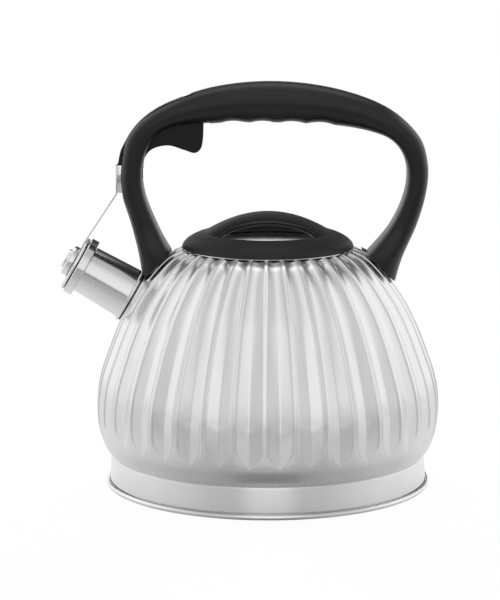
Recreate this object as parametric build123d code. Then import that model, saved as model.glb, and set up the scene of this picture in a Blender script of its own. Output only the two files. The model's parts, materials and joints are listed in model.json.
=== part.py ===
from build123d import *
import math
import os

os.makedirs("parts", exist_ok=True)

# Stovetop whistling kettle, millimetres, +Z up, spout towards -X.
# The origin is the centre of the flat face that stands on the hob.

# Sheet metal
sheet = 0.7                     # pressed stainless sheet of body, skirt and lid
seat_gap = 0.05                 # gap left between pieces that lie on each other

# Fluted body outline, radius and height of each point
neck_radius = 91.0
neck_height = 19.0
lower_turn_inset = 2.5          # below the belly radius
lower_turn_rise = 11.0          # above the neck
belly_radius = 101.0
belly_rise = 28.0               # above the neck
waist_inset = 7.6
waist_rise = 63.0
shoulder_inset = 20.2
shoulder_rise = 91.0
crown_inset = 36.0
crown_rise = 112.0
land_radius = 51.0              # outer edge of the flat land under the lid
land_height = 141.0
mouth_radius = 45.0

# Flutes
flute_count = 36
flute_depth = 2.6
ridge_width = 2.4
flute_turn = -1.4               # degrees that the front ridge stands to the left
flute_foot_rise = 13.0          # flutes start this far above the neck
flute_head_drop = 0.6           # and end this far below the land
flute_steps = 14                # outline rings from neck to land

# Base
band_radius = 93.9
band_shoulder_drop = 3.0        # height of the slope between band and neck
rim_radius = 95.8
bead_radius = 1.6
bead_lift = 0.4                 # the rolled rim clears the hob
cover_radius = 83.0
cover_sheet = 0.6

# Spout
spout_height = 112.5            # where the spout's axis meets the body
spout_angle = 30.0
spout_length = 33.0
spout_root_radius = 15.5
spout_end_radius = 14.2
spout_wall = 0.8
collar_radius = 17.0
collar_rise = 0.8               # the collar's face stands off the ridges by this
collar_depth = 14.0
weld_lip = 0.9                  # turned-in edge where the skirt is welded on
root_bead_thick = 1.2
root_bead_proud = 0.2           # inside the collar's edge
mouth_ring_radius = 17.7
mouth_ring_length = 5.3
mouth_ring_overlap = 1.4        # how far the tube reaches into the ring

# Whistle cap
cap_gap = 0.7
cap_radius = 16.6
cap_thick = 1.6
cap_edge_bevel = 0.5
steam_hole_radius = 3.0
whistle_hole_radius = 1.2
cup_radius = 9.2
cup_height = 3.4
button_radius = 6.0
button_height = 1.8
disc_radius = 8.0
disc_depth = 2.6
cap_rivet_radius = 1.1
cap_rivet_head_radius = 1.9
cap_rivet_head_height = 0.5
cap_rivet_spread = 7.0
cap_rivet_up = 12.4

# Strap from the lever to the cap
strap_thick = 0.8
strap_width = 11.2
strap_end_below = 8.6           # the strap reaches this far below the cap's centre
strap_edge_run = 0.4            # the strap leaves the plate this far past its edge
strap_angle = 33.5              # and leans from the upright by this on its free run
strap_bend_rise = 32.5          # heights above the land under the lid
strap_top_rise = 49.5
strap_rivet_rise = 42.5
clip_depth = 4.4
clip_foot_gap = 1.0
recess_margin = 0.6             # around the clip's cheeks in the lever
strap_rivet_inset = 1.7
strap_rivet_radius = 0.9
strap_rivet_head_radius = 1.5
strap_rivet_head_height = 0.5

# Handle
handle_depth = 25.0
handle_foot_depth = 32.0
handle_corner = 5.2
handle_wall = 3.0
handle_corner_share = 0.42      # most of the thickness that a corner may take
grip_top_rise = 98.2            # heights above the land under the lid
grip_under_rise = 74.2
foot_gap = 2.4                  # handle feet stand off the ridges by this
groove_pitch = 17.0
groove_count = 4
groove_depth = 1.2
groove_radius = 26.0
groove_first = -20.2

# Lever slot, lever and pivot
lever_half_width = 5.6
slot_side_gap = 0.6
slot_past_pivot = 5.6
slot_before_pivot = 7.9
slot_above_pivot = 6.2
slot_foot_drop = 2.0            # below the strap's bend
hub_end_gap = 1.4
hub_roof_gap = 2.4
hub_bevel = 1.0
tip_foot_gap = 0.2              # the lever's tip ends above the clip's foot by this
pivot_x = -39.6
pivot_rise = 84.8               # above the land under the lid
pin_radius = 2.0
pin_length = 21.0
pin_run_gap = 0.05
spring_wire = 0.8
spring_turns = 4
spring_pitch = 0.95
spring_radius = 3.7
spring_room = 0.35

# Brackets and screws
bracket_lift = 0.85             # clear of the ridges, filled by the weld
bracket_thick = 0.9
bracket_inner_radius = 54.4
bracket_outer_radius = 70.0
bracket_half_angle = 8.0
fin_thick = 3.0
fin_width = 7.6
fin_above = 3.6                 # above the screw
fin_length = 28.0
screw_play = 0.2
left_fin_lean = -14.0
right_fin_lean = 21.0
foot_screw_rise = 0.0           # above the land under the lid
left_foot_screw_x = -67.0
right_foot_screw_x = 70.2
spout_notch_gap = 0.5           # between the spout's collar and the handle foot beside it
screw_radius = 1.5
screw_head_radius = 3.0
screw_head_height = 2.0
screw_reach = 9.0               # into the front shell
screw_head_sink = 1.5           # below the rear shell's face
drive_length = 3.2
drive_width = 0.7
drive_depth = 0.8
boss_radius = 4.2
fin_slot_margin = 2.0

# Lid
lid_gap = 0.1
lid_radius = 49.8
lid_sheet = 0.8
dish_radius = 37.5
dish_rise = 3.8
skirt_gap = 0.8
skirt_height = 8.5
cover_edge_radius = 50.4
cover_top_rise = 9.6            # above the lid plate's rim
cover_hole_radius = 35.3
bridge_rise = 20.5              # apex above the lid plate's rim
bridge_thick = 5.0
bridge_half_width = 12.0
bridge_foot = 7.5
lid_screw_inset = 3.6
lid_screw_length = 5.0


# Helpers

def save(shape, name):
    export_step(shape, f"parts/{name}.step")


def sketch_xz(points):
    # A filled face in the XZ plane from corner points.
    return Face(Wire(Polyline(*[(x, 0, z) for x, z in points], close=True)))


def turned(points):
    # A solid of revolution about Z from corner points in the XZ plane.
    return Solid.revolve(sketch_xz(points), 360, Axis.Z)


def turned_face(face, plane):
    # A solid of revolution about the plane's own Z axis.
    return plane * Solid.revolve(face, 360, Axis.Z)


def rod_y(x, z, radius, low, high):
    # A round rod along Y.
    middle = (low + high) / 2
    return Pos(x, middle, z) * Rot(90, 0, 0) * Cylinder(radius, high - low)


# Heights that follow the land under the lid

strap_bend_height = land_height + strap_bend_rise
strap_top_height = land_height + strap_top_rise
strap_rivet_height = land_height + strap_rivet_rise
grip_top = land_height + grip_top_rise
grip_underside = land_height + grip_under_rise
pivot_z = land_height + pivot_rise
foot_screw_height = land_height + foot_screw_rise

# Body outline as one smooth curve

outline_points = [
    (neck_radius, neck_height),
    (belly_radius - lower_turn_inset, neck_height + lower_turn_rise),
    (belly_radius, neck_height + belly_rise),
    (belly_radius - waist_inset, neck_height + waist_rise),
    (belly_radius - shoulder_inset, neck_height + shoulder_rise),
    (belly_radius - crown_inset, neck_height + crown_rise),
    (land_radius, land_height),
]
outline = Spline(
    *[(r, 0, z) for r, z in outline_points],
    tangents=[(0.62, 0, 0.78), (-0.9, 0, 0.42)],
)


def outline_at(share, offset=0.0):
    # Point on the outline, moved outwards along its normal.
    point = outline @ share
    along = outline % share
    return Vector(point.X + along.Z * offset, 0, point.Z - along.X * offset)


def share_at_height(height):
    low = 0.0
    high = 1.0
    for step in range(40):
        middle = (low + high) / 2
        if (outline @ middle).Z < height:
            low = middle
        else:
            high = middle
    return (low + high) / 2


def share_at_radius(radius):
    # On the upper half of the body, where the radius falls with height.
    low = share_at_height(neck_height + belly_rise)
    high = 1.0
    for step in range(40):
        middle = (low + high) / 2
        if (outline @ middle).X > radius:
            low = middle
        else:
            high = middle
    return (low + high) / 2


def offset_curve(low, high, offset, count=9):
    shares = [low + (high - low) * i / (count - 1) for i in range(count)]
    return Spline(*[outline_at(share, offset) for share in shares])


def body_block(offset):
    # Solid that fills the upper body out to an offset from the ridges.
    low = share_at_height(neck_height + belly_rise)
    curve = offset_curve(low, 1.0, offset, 17)
    start = curve @ 0
    end = curve @ 1
    down = Line(end, (0, 0, end.Z))
    axis = Line((0, 0, end.Z), (0, 0, start.Z))
    out = Line((0, 0, start.Z), start)
    return Solid.revolve(Face(Wire([curve, down, axis, out])), 360, Axis.Z)


# Fluted body

def flute_depth_at(height):
    foot = neck_height + flute_foot_rise
    head = land_height - flute_head_drop
    share = min(max((height - foot) / (head - foot), 0.0), 1.0)
    return flute_depth * math.sqrt(max(math.sin(math.pi * share), 0.0))


def flute_ring(point, depth):
    # Closed outline of all ridges and grooves at one height.
    pitch = 2 * math.pi / flute_count
    half_ridge = ridge_width / 2 / point.X
    first = math.radians(-90 + flute_turn)

    def at(radius, angle):
        return Vector(radius * math.cos(angle), radius * math.sin(angle), point.Z)

    edges = []
    for k in range(flute_count):
        middle = first + k * pitch
        ridge_start = at(point.X, middle - half_ridge)
        ridge_top = at(point.X, middle)
        ridge_end = at(point.X, middle + half_ridge)
        valley = at(point.X - depth, middle + pitch / 2)
        next_ridge = at(point.X, middle + pitch - half_ridge)
        edges.append(ThreePointArc(ridge_start, ridge_top, ridge_end))
        edges.append(Line(ridge_end, valley))
        edges.append(Line(valley, next_ridge))
    return Wire(edges)


def fluted_loft(offset):
    rings = []
    for step in range(flute_steps + 1):
        share = step / flute_steps
        depth = flute_depth_at((outline @ share).Z)
        rings.append(flute_ring(outline_at(share, offset), depth))
    return Solid.make_loft(rings)


spout_lean = math.radians(spout_angle)
spout_surface = outline @ share_at_height(spout_height)
spout_dir = Vector(-math.cos(spout_lean), 0, math.sin(spout_lean))
spout_root = Vector(-spout_surface.X, 0, spout_surface.Z) + spout_dir * collar_rise
spout_plane = Plane(origin=spout_root, x_dir=(0, 1, 0), z_dir=spout_dir)
spout_bore_root = spout_root_radius - spout_wall


def along_spout(radius, start, end):
    middle = (start + end) / 2
    return spout_plane * Pos(0, 0, middle) * Cylinder(radius, end - start)


def make_body_shell():
    inside = fluted_loft(-sheet)
    lip_radius = neck_radius - sheet - weld_lip
    foot_hole = Pos(0, 0, neck_height) * Cylinder(lip_radius, 8 * sheet)
    mouth_hole = Pos(0, 0, land_height) * Cylinder(mouth_radius, 8 * sheet)
    spout_hole = along_spout(collar_radius - sheet, -collar_depth, collar_depth)
    shell = fluted_loft(0) - [inside, foot_hole, mouth_hole, spout_hole]
    collar = along_spout(collar_radius, -collar_depth, 0)
    collar -= along_spout(collar_radius - sheet, -collar_depth, -sheet)
    collar -= along_spout(spout_bore_root, -collar_depth, collar_depth)
    collar -= inside
    return shell + collar


body_shell = make_body_shell()
save(body_shell, "body_shell")

# Plain band under the flutes

rim_top = bead_lift + 2 * bead_radius
band_top = neck_height - band_shoulder_drop
base_skirt = turned([
    (band_radius - sheet, rim_top),
    (band_radius, rim_top),
    (band_radius, band_top),
    (neck_radius, neck_height),
    (neck_radius - sheet, neck_height),
    (band_radius - sheet, band_top),
])
save(base_skirt, "base_skirt")

# Bottom pan with its rolled rim, aluminium disc and cover that stands on the hob

pan_low = rim_top - sheet
pan_disc = turned([
    (0, pan_low),
    (rim_radius - bead_radius, pan_low),
    (rim_radius - bead_radius, rim_top),
    (0, rim_top),
])
bead_centre = bead_lift + bead_radius
bead_ring = Pos(0, 0, bead_centre) * Torus(rim_radius - bead_radius, bead_radius)
base_pan = pan_disc + bead_ring
save(base_pan, "base_pan")

spreader_radius = cover_radius - cover_sheet - seat_gap
heat_spreader = Pos(0, 0, (cover_sheet + pan_low) / 2) * Cylinder(spreader_radius, pan_low - cover_sheet)
save(heat_spreader, "heat_spreader")

base_cover = turned([
    (0, 0),
    (cover_radius, 0),
    (cover_radius, pan_low),
    (cover_radius - cover_sheet, pan_low),
    (cover_radius - cover_sheet, cover_sheet),
    (0, cover_sheet),
])
save(base_cover, "base_cover")

# Spout tube and its rolled mouth ring, made along the spout's axis

spout_taper = (spout_root_radius - spout_end_radius) / spout_length
spout_bore_end = spout_end_radius - spout_wall
tube_face = sketch_xz([
    (spout_bore_root, 0),
    (collar_radius - root_bead_proud, 0),
    (collar_radius - root_bead_proud, root_bead_thick),
    (spout_root_radius - spout_taper * root_bead_thick, root_bead_thick),
    (spout_end_radius, spout_length),
    (spout_bore_end, spout_length),
])
spout_tube = turned_face(tube_face, spout_plane)
save(spout_tube, "spout_tube")

ring_start = spout_length - mouth_ring_overlap
ring_end = ring_start + mouth_ring_length
ring_bore = spout_end_radius + spout_taper * mouth_ring_overlap + seat_gap
ring_face = sketch_xz([
    (ring_bore, ring_start),
    (mouth_ring_radius - cap_edge_bevel, ring_start),
    (mouth_ring_radius, ring_start + cap_edge_bevel),
    (mouth_ring_radius, ring_end - cap_edge_bevel),
    (mouth_ring_radius - cap_edge_bevel, ring_end),
    (spout_bore_end, ring_end),
    (spout_bore_end, spout_length + seat_gap),
    (ring_bore, spout_length + seat_gap),
])
spout_mouth_ring = turned_face(ring_face, spout_plane)
save(spout_mouth_ring, "spout_mouth_ring")

# Whistle cap: plate, sounding disc behind it, strap, cup and button in front

plate_back = ring_end + cap_gap
plate_front = plate_back + cap_thick
strap_front = plate_front + strap_thick
cup_front = strap_front + cup_height
button_front = cup_front + button_height

# the plane's own Y axis may point up or down the cap
cap_rivet_side = 1 if spout_plane.y_dir.Z > 0 else -1


def cap_rivet_holes(radius, start, end):
    # Two rods through plate and strap, above the cup.
    holes = []
    for side in (-1, 1):
        spot = spout_plane * Pos(side * cap_rivet_spread / 2, cap_rivet_side * cap_rivet_up, (start + end) / 2)
        holes.append(spot * Cylinder(radius, end - start))
    return holes


plate_face = sketch_xz([
    (steam_hole_radius, plate_back),
    (cap_radius, plate_back),
    (cap_radius, plate_front - cap_edge_bevel),
    (cap_radius - 2 * cap_edge_bevel, plate_front),
    (steam_hole_radius, plate_front),
])
whistle_cap_plate = turned_face(plate_face, spout_plane)
for hole in cap_rivet_holes(cap_rivet_radius, plate_back, plate_front):
    whistle_cap_plate -= hole
save(whistle_cap_plate, "whistle_cap_plate")

disc_face = sketch_xz([
    (whistle_hole_radius, plate_back - disc_depth),
    (disc_radius - sheet, plate_back - disc_depth),
    (disc_radius, plate_back - disc_depth + sheet),
    (disc_radius, plate_back),
    (disc_radius - sheet, plate_back),
    (disc_radius - sheet, plate_back - disc_depth + sheet),
    (whistle_hole_radius, plate_back - disc_depth + sheet),
])
whistle_disc = turned_face(disc_face, spout_plane)
save(whistle_disc, "whistle_disc")

cup_face = sketch_xz([
    (cup_radius - sheet, strap_front),
    (cup_radius, strap_front),
    (cup_radius, cup_front - cap_edge_bevel),
    (cup_radius - cap_edge_bevel, cup_front),
    (button_radius, cup_front),
    (button_radius, button_front - cap_edge_bevel),
    (button_radius - cap_edge_bevel, button_front),
    (whistle_hole_radius, button_front),
    (whistle_hole_radius, button_front - sheet),
    (button_radius - sheet, button_front - sheet),
    (button_radius - sheet, cup_front - sheet),
    (cup_radius - sheet, cup_front - sheet),
])
whistle_cup = turned_face(cup_face, spout_plane)
save(whistle_cup, "whistle_cup")

cap_rivets = []
for shank, low_head, high_head in zip(
    cap_rivet_holes(cap_rivet_radius, plate_back, strap_front),
    cap_rivet_holes(cap_rivet_head_radius, plate_back - cap_rivet_head_height, plate_back),
    cap_rivet_holes(cap_rivet_head_radius, strap_front, strap_front + cap_rivet_head_height),
):
    cap_rivets.append(shank + low_head + high_head)
save(Compound(children=cap_rivets), "cap_rivets")

# Strap: a flat strip from the cap up to a clip that wraps the lever's tip



def leaning(angle):
    # Direction up a strip that leans from the upright, and the one square to it, away from the body.
    up = Vector(math.sin(angle), 0, math.cos(angle))
    out = Vector(-math.cos(angle), 0, math.sin(angle))
    return up, out


strap_lean = math.radians(strap_angle)
plate_up, plate_out = leaning(spout_lean)
strap_up, strap_out = leaning(strap_lean)
kink_out = leaning((spout_lean + strap_lean) / 2)[1]
cap_centre = spout_root + spout_dir * plate_front
strap_low_inner = cap_centre - plate_up * strap_end_below
strap_low_outer = strap_low_inner + plate_out * strap_thick
strap_kink_inner = cap_centre + plate_up * (cap_radius + strap_edge_run)
strap_kink_outer = strap_kink_inner + kink_out * strap_thick
bend_run = (strap_bend_height - strap_kink_inner.Z) / strap_up.Z
strap_bend_inner = strap_kink_inner + strap_up * bend_run
strap_bend_outer = strap_bend_inner + Vector(-strap_thick, 0, strap_thick * math.tan(strap_lean / 2))
clip_face_x = strap_bend_inner.X
strap_strip = extrude(
    sketch_xz([
        (strap_low_inner.X, strap_low_inner.Z),
        (strap_kink_inner.X, strap_kink_inner.Z),
        (strap_bend_inner.X, strap_bend_inner.Z),
        (clip_face_x, strap_top_height),
        (clip_face_x - strap_thick, strap_top_height),
        (strap_bend_outer.X, strap_bend_outer.Z),
        (strap_kink_outer.X, strap_kink_outer.Z),
        (strap_low_outer.X, strap_low_outer.Z),
    ]),
    amount=strap_width / 2,
    dir=(0, 1, 0),
    both=True,
)
clip_low = strap_bend_height + clip_foot_gap
clip_middle = (clip_low + strap_top_height) / 2
clip_side_y = strap_width / 2 - strap_thick / 2
whistle_strap = strap_strip
for side in (-1, 1):
    cheek = Box(clip_depth, strap_thick, strap_top_height - clip_low)
    whistle_strap += Pos(clip_face_x + clip_depth / 2, side * clip_side_y, clip_middle) * cheek
strap_rivet_x = clip_face_x + strap_rivet_inset
whistle_strap -= rod_y(strap_rivet_x, strap_rivet_height, strap_rivet_radius, -strap_width, strap_width)
whistle_strap -= along_spout(steam_hole_radius, plate_back, cup_front)
for hole in cap_rivet_holes(cap_rivet_radius, plate_back, cup_front):
    whistle_strap -= hole
save(whistle_strap, "whistle_strap")

strap_rivet = rod_y(strap_rivet_x, strap_rivet_height, strap_rivet_radius, -strap_width / 2, strap_width / 2)
for side in (-1, 1):
    head_start = side * strap_width / 2
    head_end = head_start + side * strap_rivet_head_height
    strap_rivet += rod_y(
        strap_rivet_x, strap_rivet_height, strap_rivet_head_radius,
        min(head_start, head_end), max(head_start, head_end),
    )
save(strap_rivet, "strap_rivet")

# Handle sections along the arch, from the spout side's foot to the far foot. Each is an outer edge
# point and an inner edge point in the XZ plane, with its height measured from the land.

handle_stations = [
    ((-72.5, -29.0), (-49.0, -11.0)),
    ((-75.3, -6.0), (-56.6, -1.5)),
    ((-80.0, 14.0), (-64.8, 14.0)),
    ((-84.5, 33.0), (-72.0, 33.0)),
    ((-84.6, 50.0), (-72.8, 49.5)),
    ((-79.4, 68.2), (-67.4, 63.6)),
    ((-65.2, 82.0), (-56.4, 71.2)),
    ((-36.0, 94.3), (-33.5, 74.0)),
    ((0.0, grip_top_rise), (0.0, grip_under_rise)),
    ((36.0, 94.6), (35.5, 73.6)),
    ((67.8, 83.8), (59.5, 69.1)),
    ((87.4, 67.2), (73.4, 62.8)),
    ((93.3, 50.5), (80.6, 50.0)),
    ((92.6, 33.5), (79.8, 33.0)),
    ((87.2, 14.2), (71.4, 14.0)),
    ((78.4, -6.5), (57.2, -3.4)),
    ((72.5, -29.0), (48.0, -12.5)),
]


def handle_loft(inset):
    sections = []
    last = len(handle_stations) - 1
    for index, (outer, inner) in enumerate(handle_stations):
        outer_point = Vector(outer[0], 0, land_height + outer[1])
        inner_point = Vector(inner[0], 0, land_height + inner[1])
        across = outer_point - inner_point
        middle = (outer_point + inner_point) / 2
        near_foot = index <= 1 or index >= last - 1
        depth = handle_foot_depth if near_foot else handle_depth
        section_plane = Plane(origin=middle, x_dir=across.normalized(), z_dir=across.cross(Vector(0, 1, 0)))
        thick = across.length - 2 * inset
        corner = min(handle_corner, handle_corner_share * thick)
        section = RectangleRounded(thick, depth - 2 * inset, corner)
        sections.append(section_plane * section)
    return loft(sections)


foot_cut = body_block(foot_gap)
spout_notch = along_spout(collar_radius + spout_notch_gap, -collar_depth, spout_length)
grip_screw_spots = [
    (-25.5, land_height + 85.4),
    (30.0, land_height + 85.0),
    (86.9, land_height + 45.0),
    (-78.0, land_height + 25.0),
]
foot_screw_spots = [(left_foot_screw_x, foot_screw_height), (right_foot_screw_x, foot_screw_height)]
slot_half = lever_half_width + slot_side_gap
slot_end_x = pivot_x + slot_past_pivot
slot_roof_z = pivot_z + slot_above_pivot
slot_mouth_x = pivot_x - slot_before_pivot
slot_foot_z = strap_bend_height - slot_foot_drop
outside_x = -belly_radius
above_z = grip_top + handle_depth
slot_outline = [
    (outside_x, slot_foot_z),
    (pivot_x - 42.6, slot_foot_z),
    (pivot_x - 41.8, pivot_z - 44.8),
    (pivot_x - 26.4, pivot_z - 41.8),
    (slot_end_x, pivot_z - 35.8),
    (slot_end_x, slot_roof_z),
    (slot_mouth_x, slot_roof_z),
    (slot_mouth_x, above_z),
    (outside_x, above_z),
]


def finger_grooves():
    bars = []
    for index in range(groove_count):
        x = groove_first + index * groove_pitch
        centre = grip_underside + groove_depth - groove_radius
        bars.append(rod_y(x, centre, groove_radius, -handle_foot_depth, handle_foot_depth))
    return bars


def make_handle():
    # The cavity is the inner loft less the screw posts and the solid cheeks beside the lever.
    slot_face = sketch_xz(slot_outline)
    cheeks = extrude(slot_face, amount=handle_foot_depth, dir=(0, 1, 0), both=True)
    end_wall = Box(handle_wall, handle_foot_depth, 2 * handle_depth)
    slot_end_wall = Pos(slot_end_x + handle_wall / 2, 0, pivot_z) * end_wall
    posts = [rod_y(x, z, boss_radius, -handle_foot_depth, handle_foot_depth)
             for x, z in grip_screw_spots + foot_screw_spots]
    cavity = handle_loft(handle_wall) - [cheeks, slot_end_wall, *posts]
    slot = extrude(slot_face, amount=slot_half, dir=(0, 1, 0), both=True)
    fin_slot_size = 2 * boss_radius + fin_slot_margin
    fin_slot = Box(fin_slot_size, fin_thick + 2 * seat_gap, fin_slot_size)
    fin_slots = [Pos(x, 0, z) * fin_slot for x, z in foot_screw_spots]
    return handle_loft(0) - [foot_cut, spout_notch, *finger_grooves(), *cavity.solids(), slot, *fin_slots]


handle = make_handle()
spring_pocket_start = -slot_half
spring_room_length = spring_turns * spring_pitch + spring_wire + 2 * spring_room
spring_pocket_end = spring_pocket_start - spring_room_length
spring_outer = spring_radius + spring_wire / 2 + spring_room


def half_space(side):
    size = 2 * grip_top
    return Pos(0, side * size / 2, grip_top / 2) * Box(size, size, size)


def screw_holes(body, spots, radius, start, end):
    for x, z in spots:
        body -= rod_y(x, z, radius, start, end)
    return body


all_spots = grip_screw_spots + foot_screw_spots
head_seat = handle_depth / 2 - screw_head_height - screw_head_sink

handle_front_shell = handle & half_space(-1)
handle_front_shell = screw_holes(handle_front_shell, all_spots, screw_radius, -screw_reach, screw_head_height)
handle_front_shell -= rod_y(pivot_x, pivot_z, pin_radius, -pin_length / 2, 0)
handle_front_shell -= rod_y(pivot_x, pivot_z, spring_outer, spring_pocket_end, 0)
save(handle_front_shell, "handle_front_shell")

handle_rear_shell = handle & half_space(1)
handle_rear_shell = screw_holes(handle_rear_shell, all_spots, screw_radius, -screw_head_height, head_seat)
handle_rear_shell = screw_holes(
    handle_rear_shell, all_spots, screw_head_radius + seat_gap, head_seat, handle_foot_depth)
handle_rear_shell -= rod_y(pivot_x, pivot_z, pin_radius, 0, pin_length / 2)
save(handle_rear_shell, "handle_rear_shell")


def cross_screw(x, z):
    shank = rod_y(x, z, screw_radius, -screw_reach, head_seat)
    head = rod_y(x, z, screw_head_radius, head_seat, head_seat + screw_head_height)
    drive = Pos(x, head_seat + screw_head_height, z)
    cross = drive * Box(drive_length, 2 * drive_depth, drive_width)
    cross += drive * Box(drive_width, 2 * drive_depth, drive_length)
    return shank + head - cross


save(Compound(children=[cross_screw(x, z) for x, z in grip_screw_spots]), "handle_grip_screws")
save(Compound(children=[cross_screw(x, z) for x, z in foot_screw_spots]), "handle_foot_screws")

# Handle brackets: a curved strip on the ridges with an upright fin for the screw


def make_bracket(screw_x, lean):
    side = 1 if screw_x > 0 else -1
    low = share_at_radius(bracket_outer_radius)
    high = share_at_radius(bracket_inner_radius)
    inside = offset_curve(low, high, bracket_lift)
    outside = offset_curve(low, high, bracket_lift + bracket_thick)
    ends = [Line(inside @ 0, outside @ 0), Line(inside @ 1, outside @ 1)]
    strip = Solid.revolve(Face(Wire([inside, ends[1], outside, ends[0]])), 2 * bracket_half_angle, Axis.Z)
    strip = Rot(0, 0, -bracket_half_angle) * strip
    if side < 0:
        strip = Rot(0, 0, 180) * strip
    fin = Pos(screw_x, 0, foot_screw_height) * Rot(0, lean, 0) * Pos(0, 0, fin_above - fin_length / 2)
    fin = fin * Box(fin_width, fin_thick, fin_length)
    fin -= body_block(bracket_lift + bracket_thick / 2)
    bracket = strip + fin - spout_notch
    bracket -= rod_y(screw_x, foot_screw_height, screw_radius + screw_play, -fin_thick, fin_thick)
    return bracket


save(make_bracket(left_foot_screw_x, left_fin_lean), "handle_bracket_left")
save(make_bracket(right_foot_screw_x, right_fin_lean), "handle_bracket_right")

# Lever: a flat slab that fills the slot, with the finger tab below and the spine outside



def from_pivot(x, z):
    return Vector(pivot_x + x, 0, pivot_z + z)


spine_end = Vector(clip_face_x + strap_thick, 0, strap_top_height + strap_rivet_inset)
lever_spine = Spline(
    from_pivot(-10.4, 5.2),
    from_pivot(-29.1, -4.1),
    from_pivot(-38.5, -11.1),
    from_pivot(-43.6, -19.3),
    spine_end,
)
tab_curve = Spline(
    from_pivot(-33.4, -38.8),
    from_pivot(-32.6, -31.8),
    from_pivot(-27.9, -26.0),
    from_pivot(-18.6, -23.8),
    from_pivot(-9.4, -26.4),
    from_pivot(-3.1, -28.2),
    from_pivot(0.7, -25.2),
    from_pivot(1.8, -18.8),
    from_pivot(2.0, -11.8),
)
tip_x = clip_face_x + seat_gap
tip_inner_x = clip_face_x + clip_depth
tip_foot_z = clip_low - tip_foot_gap
tip_path = Polyline(
    lever_spine @ 1,
    (tip_x, 0, strap_top_height),
    (tip_x, 0, tip_foot_z),
    (tip_inner_x, 0, tip_foot_z),
    (tip_inner_x, 0, strap_rivet_height),
    tab_curve @ 0,
)
hub_right = slot_end_x - hub_end_gap
hub_top = slot_roof_z - hub_roof_gap
hub_path = Polyline(
    tab_curve @ 1,
    (hub_right, 0, pivot_z - 2 * pin_radius),
    (hub_right, 0, hub_top - hub_bevel),
    (hub_right - hub_bevel, 0, hub_top),
    (slot_mouth_x + hub_bevel, 0, hub_top),
    lever_spine @ 0,
)
lever_edges = [lever_spine, tip_path, tab_curve, hub_path]
lever_wire = Wire([edge for item in lever_edges for edge in item.edges()])
trigger_lever = extrude(Face(lever_wire), amount=lever_half_width, dir=(0, 1, 0), both=True)
trigger_lever -= rod_y(pivot_x, pivot_z, pin_radius + pin_run_gap, -pin_length, pin_length)
for side in (-1, 1):
    recess_y = side * (strap_width / 2 - seat_gap)
    recess = Box(clip_depth + 2 * recess_margin, 2 * strap_thick, strap_top_height - clip_low + 2 * recess_margin)
    trigger_lever -= Pos(clip_face_x + clip_depth / 2, recess_y, clip_middle) * recess
trigger_lever -= rod_y(strap_rivet_x, strap_rivet_height, strap_rivet_radius, -strap_width, strap_width)
save(trigger_lever, "trigger_lever")

lever_pivot_pin = rod_y(pivot_x, pivot_z, pin_radius, -pin_length / 2, pin_length / 2)
save(lever_pivot_pin, "lever_pivot_pin")


def make_return_spring():
    # Half turns joined end to end, each an arc between two sides of the coil.
    start_y = spring_pocket_start - spring_room - spring_wire / 2
    half = spring_pitch / 2
    arcs = []
    side = 1
    y = start_y
    for index in range(2 * spring_turns):
        first = Vector(pivot_x + side * spring_radius, y, pivot_z)
        last = Vector(pivot_x - side * spring_radius, y - half, pivot_z)
        middle = (first + last) / 2 + Vector(0, 0, side * (first - last).length / 2)
        arcs.append(ThreePointArc(first, middle, last))
        side = -side
        y -= half
    path = Wire(arcs)
    section_plane = Plane(origin=path @ 0, x_dir=(1, 0, 0), z_dir=path % 0)
    return sweep(section_plane * Circle(spring_wire / 2), path=path)


save(make_return_spring(), "lever_return_spring")

# Lid: steel plate with a locating skirt, black cover with its bridge, screws from below

rim_low = land_height + lid_gap
rim_high = rim_low + lid_sheet
dish_high = rim_high + dish_rise
slope_radius = mouth_radius - skirt_gap - 0.2
lid_plate = turned([
    (0, dish_high - lid_sheet),
    (dish_radius - lid_sheet, dish_high - lid_sheet),
    (slope_radius - lid_sheet, rim_low),
    (lid_radius, rim_low),
    (lid_radius, rim_high),
    (slope_radius, rim_high),
    (dish_radius, dish_high),
    (0, dish_high),
])
skirt_radius = mouth_radius - skirt_gap
lid_skirt = turned([
    (skirt_radius - lid_sheet, rim_low - skirt_height),
    (skirt_radius, rim_low - skirt_height),
    (skirt_radius, rim_low),
    (skirt_radius - lid_sheet, rim_low),
])
save(lid_skirt, "lid_skirt")

cover_top = rim_high + cover_top_rise
cover_low = dish_high + seat_gap
cover_curve = Spline(
    (cover_edge_radius, 0, rim_high + 1.2),
    (cover_edge_radius - 2.6, 0, rim_high + 4.6),
    (cover_edge_radius - 7.6, 0, rim_high + 7.8),
    (cover_hole_radius + 2.2, 0, cover_top),
    tangents=[(-0.1, 0, 1), (-1, 0, 0.18)],
)
cover_under = Polyline(
    cover_curve @ 1,
    (cover_hole_radius + 0.6, 0, cover_top - 0.3),
    (cover_hole_radius, 0, cover_top - 1.2),
    (cover_hole_radius, 0, cover_low),
    (dish_radius, 0, cover_low),
    (dish_radius + 1.2, 0, cover_low + 1.6),
    (cover_edge_radius - 4.4, 0, rim_high + 2.4),
    (cover_edge_radius - 3.6, 0, rim_high),
    (cover_edge_radius - 0.4, 0, rim_high),
    cover_curve @ 0,
)
cover_ring = Solid.revolve(Face(Wire([*cover_curve.edges(), *cover_under.edges()])), 360, Axis.Z)

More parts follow.
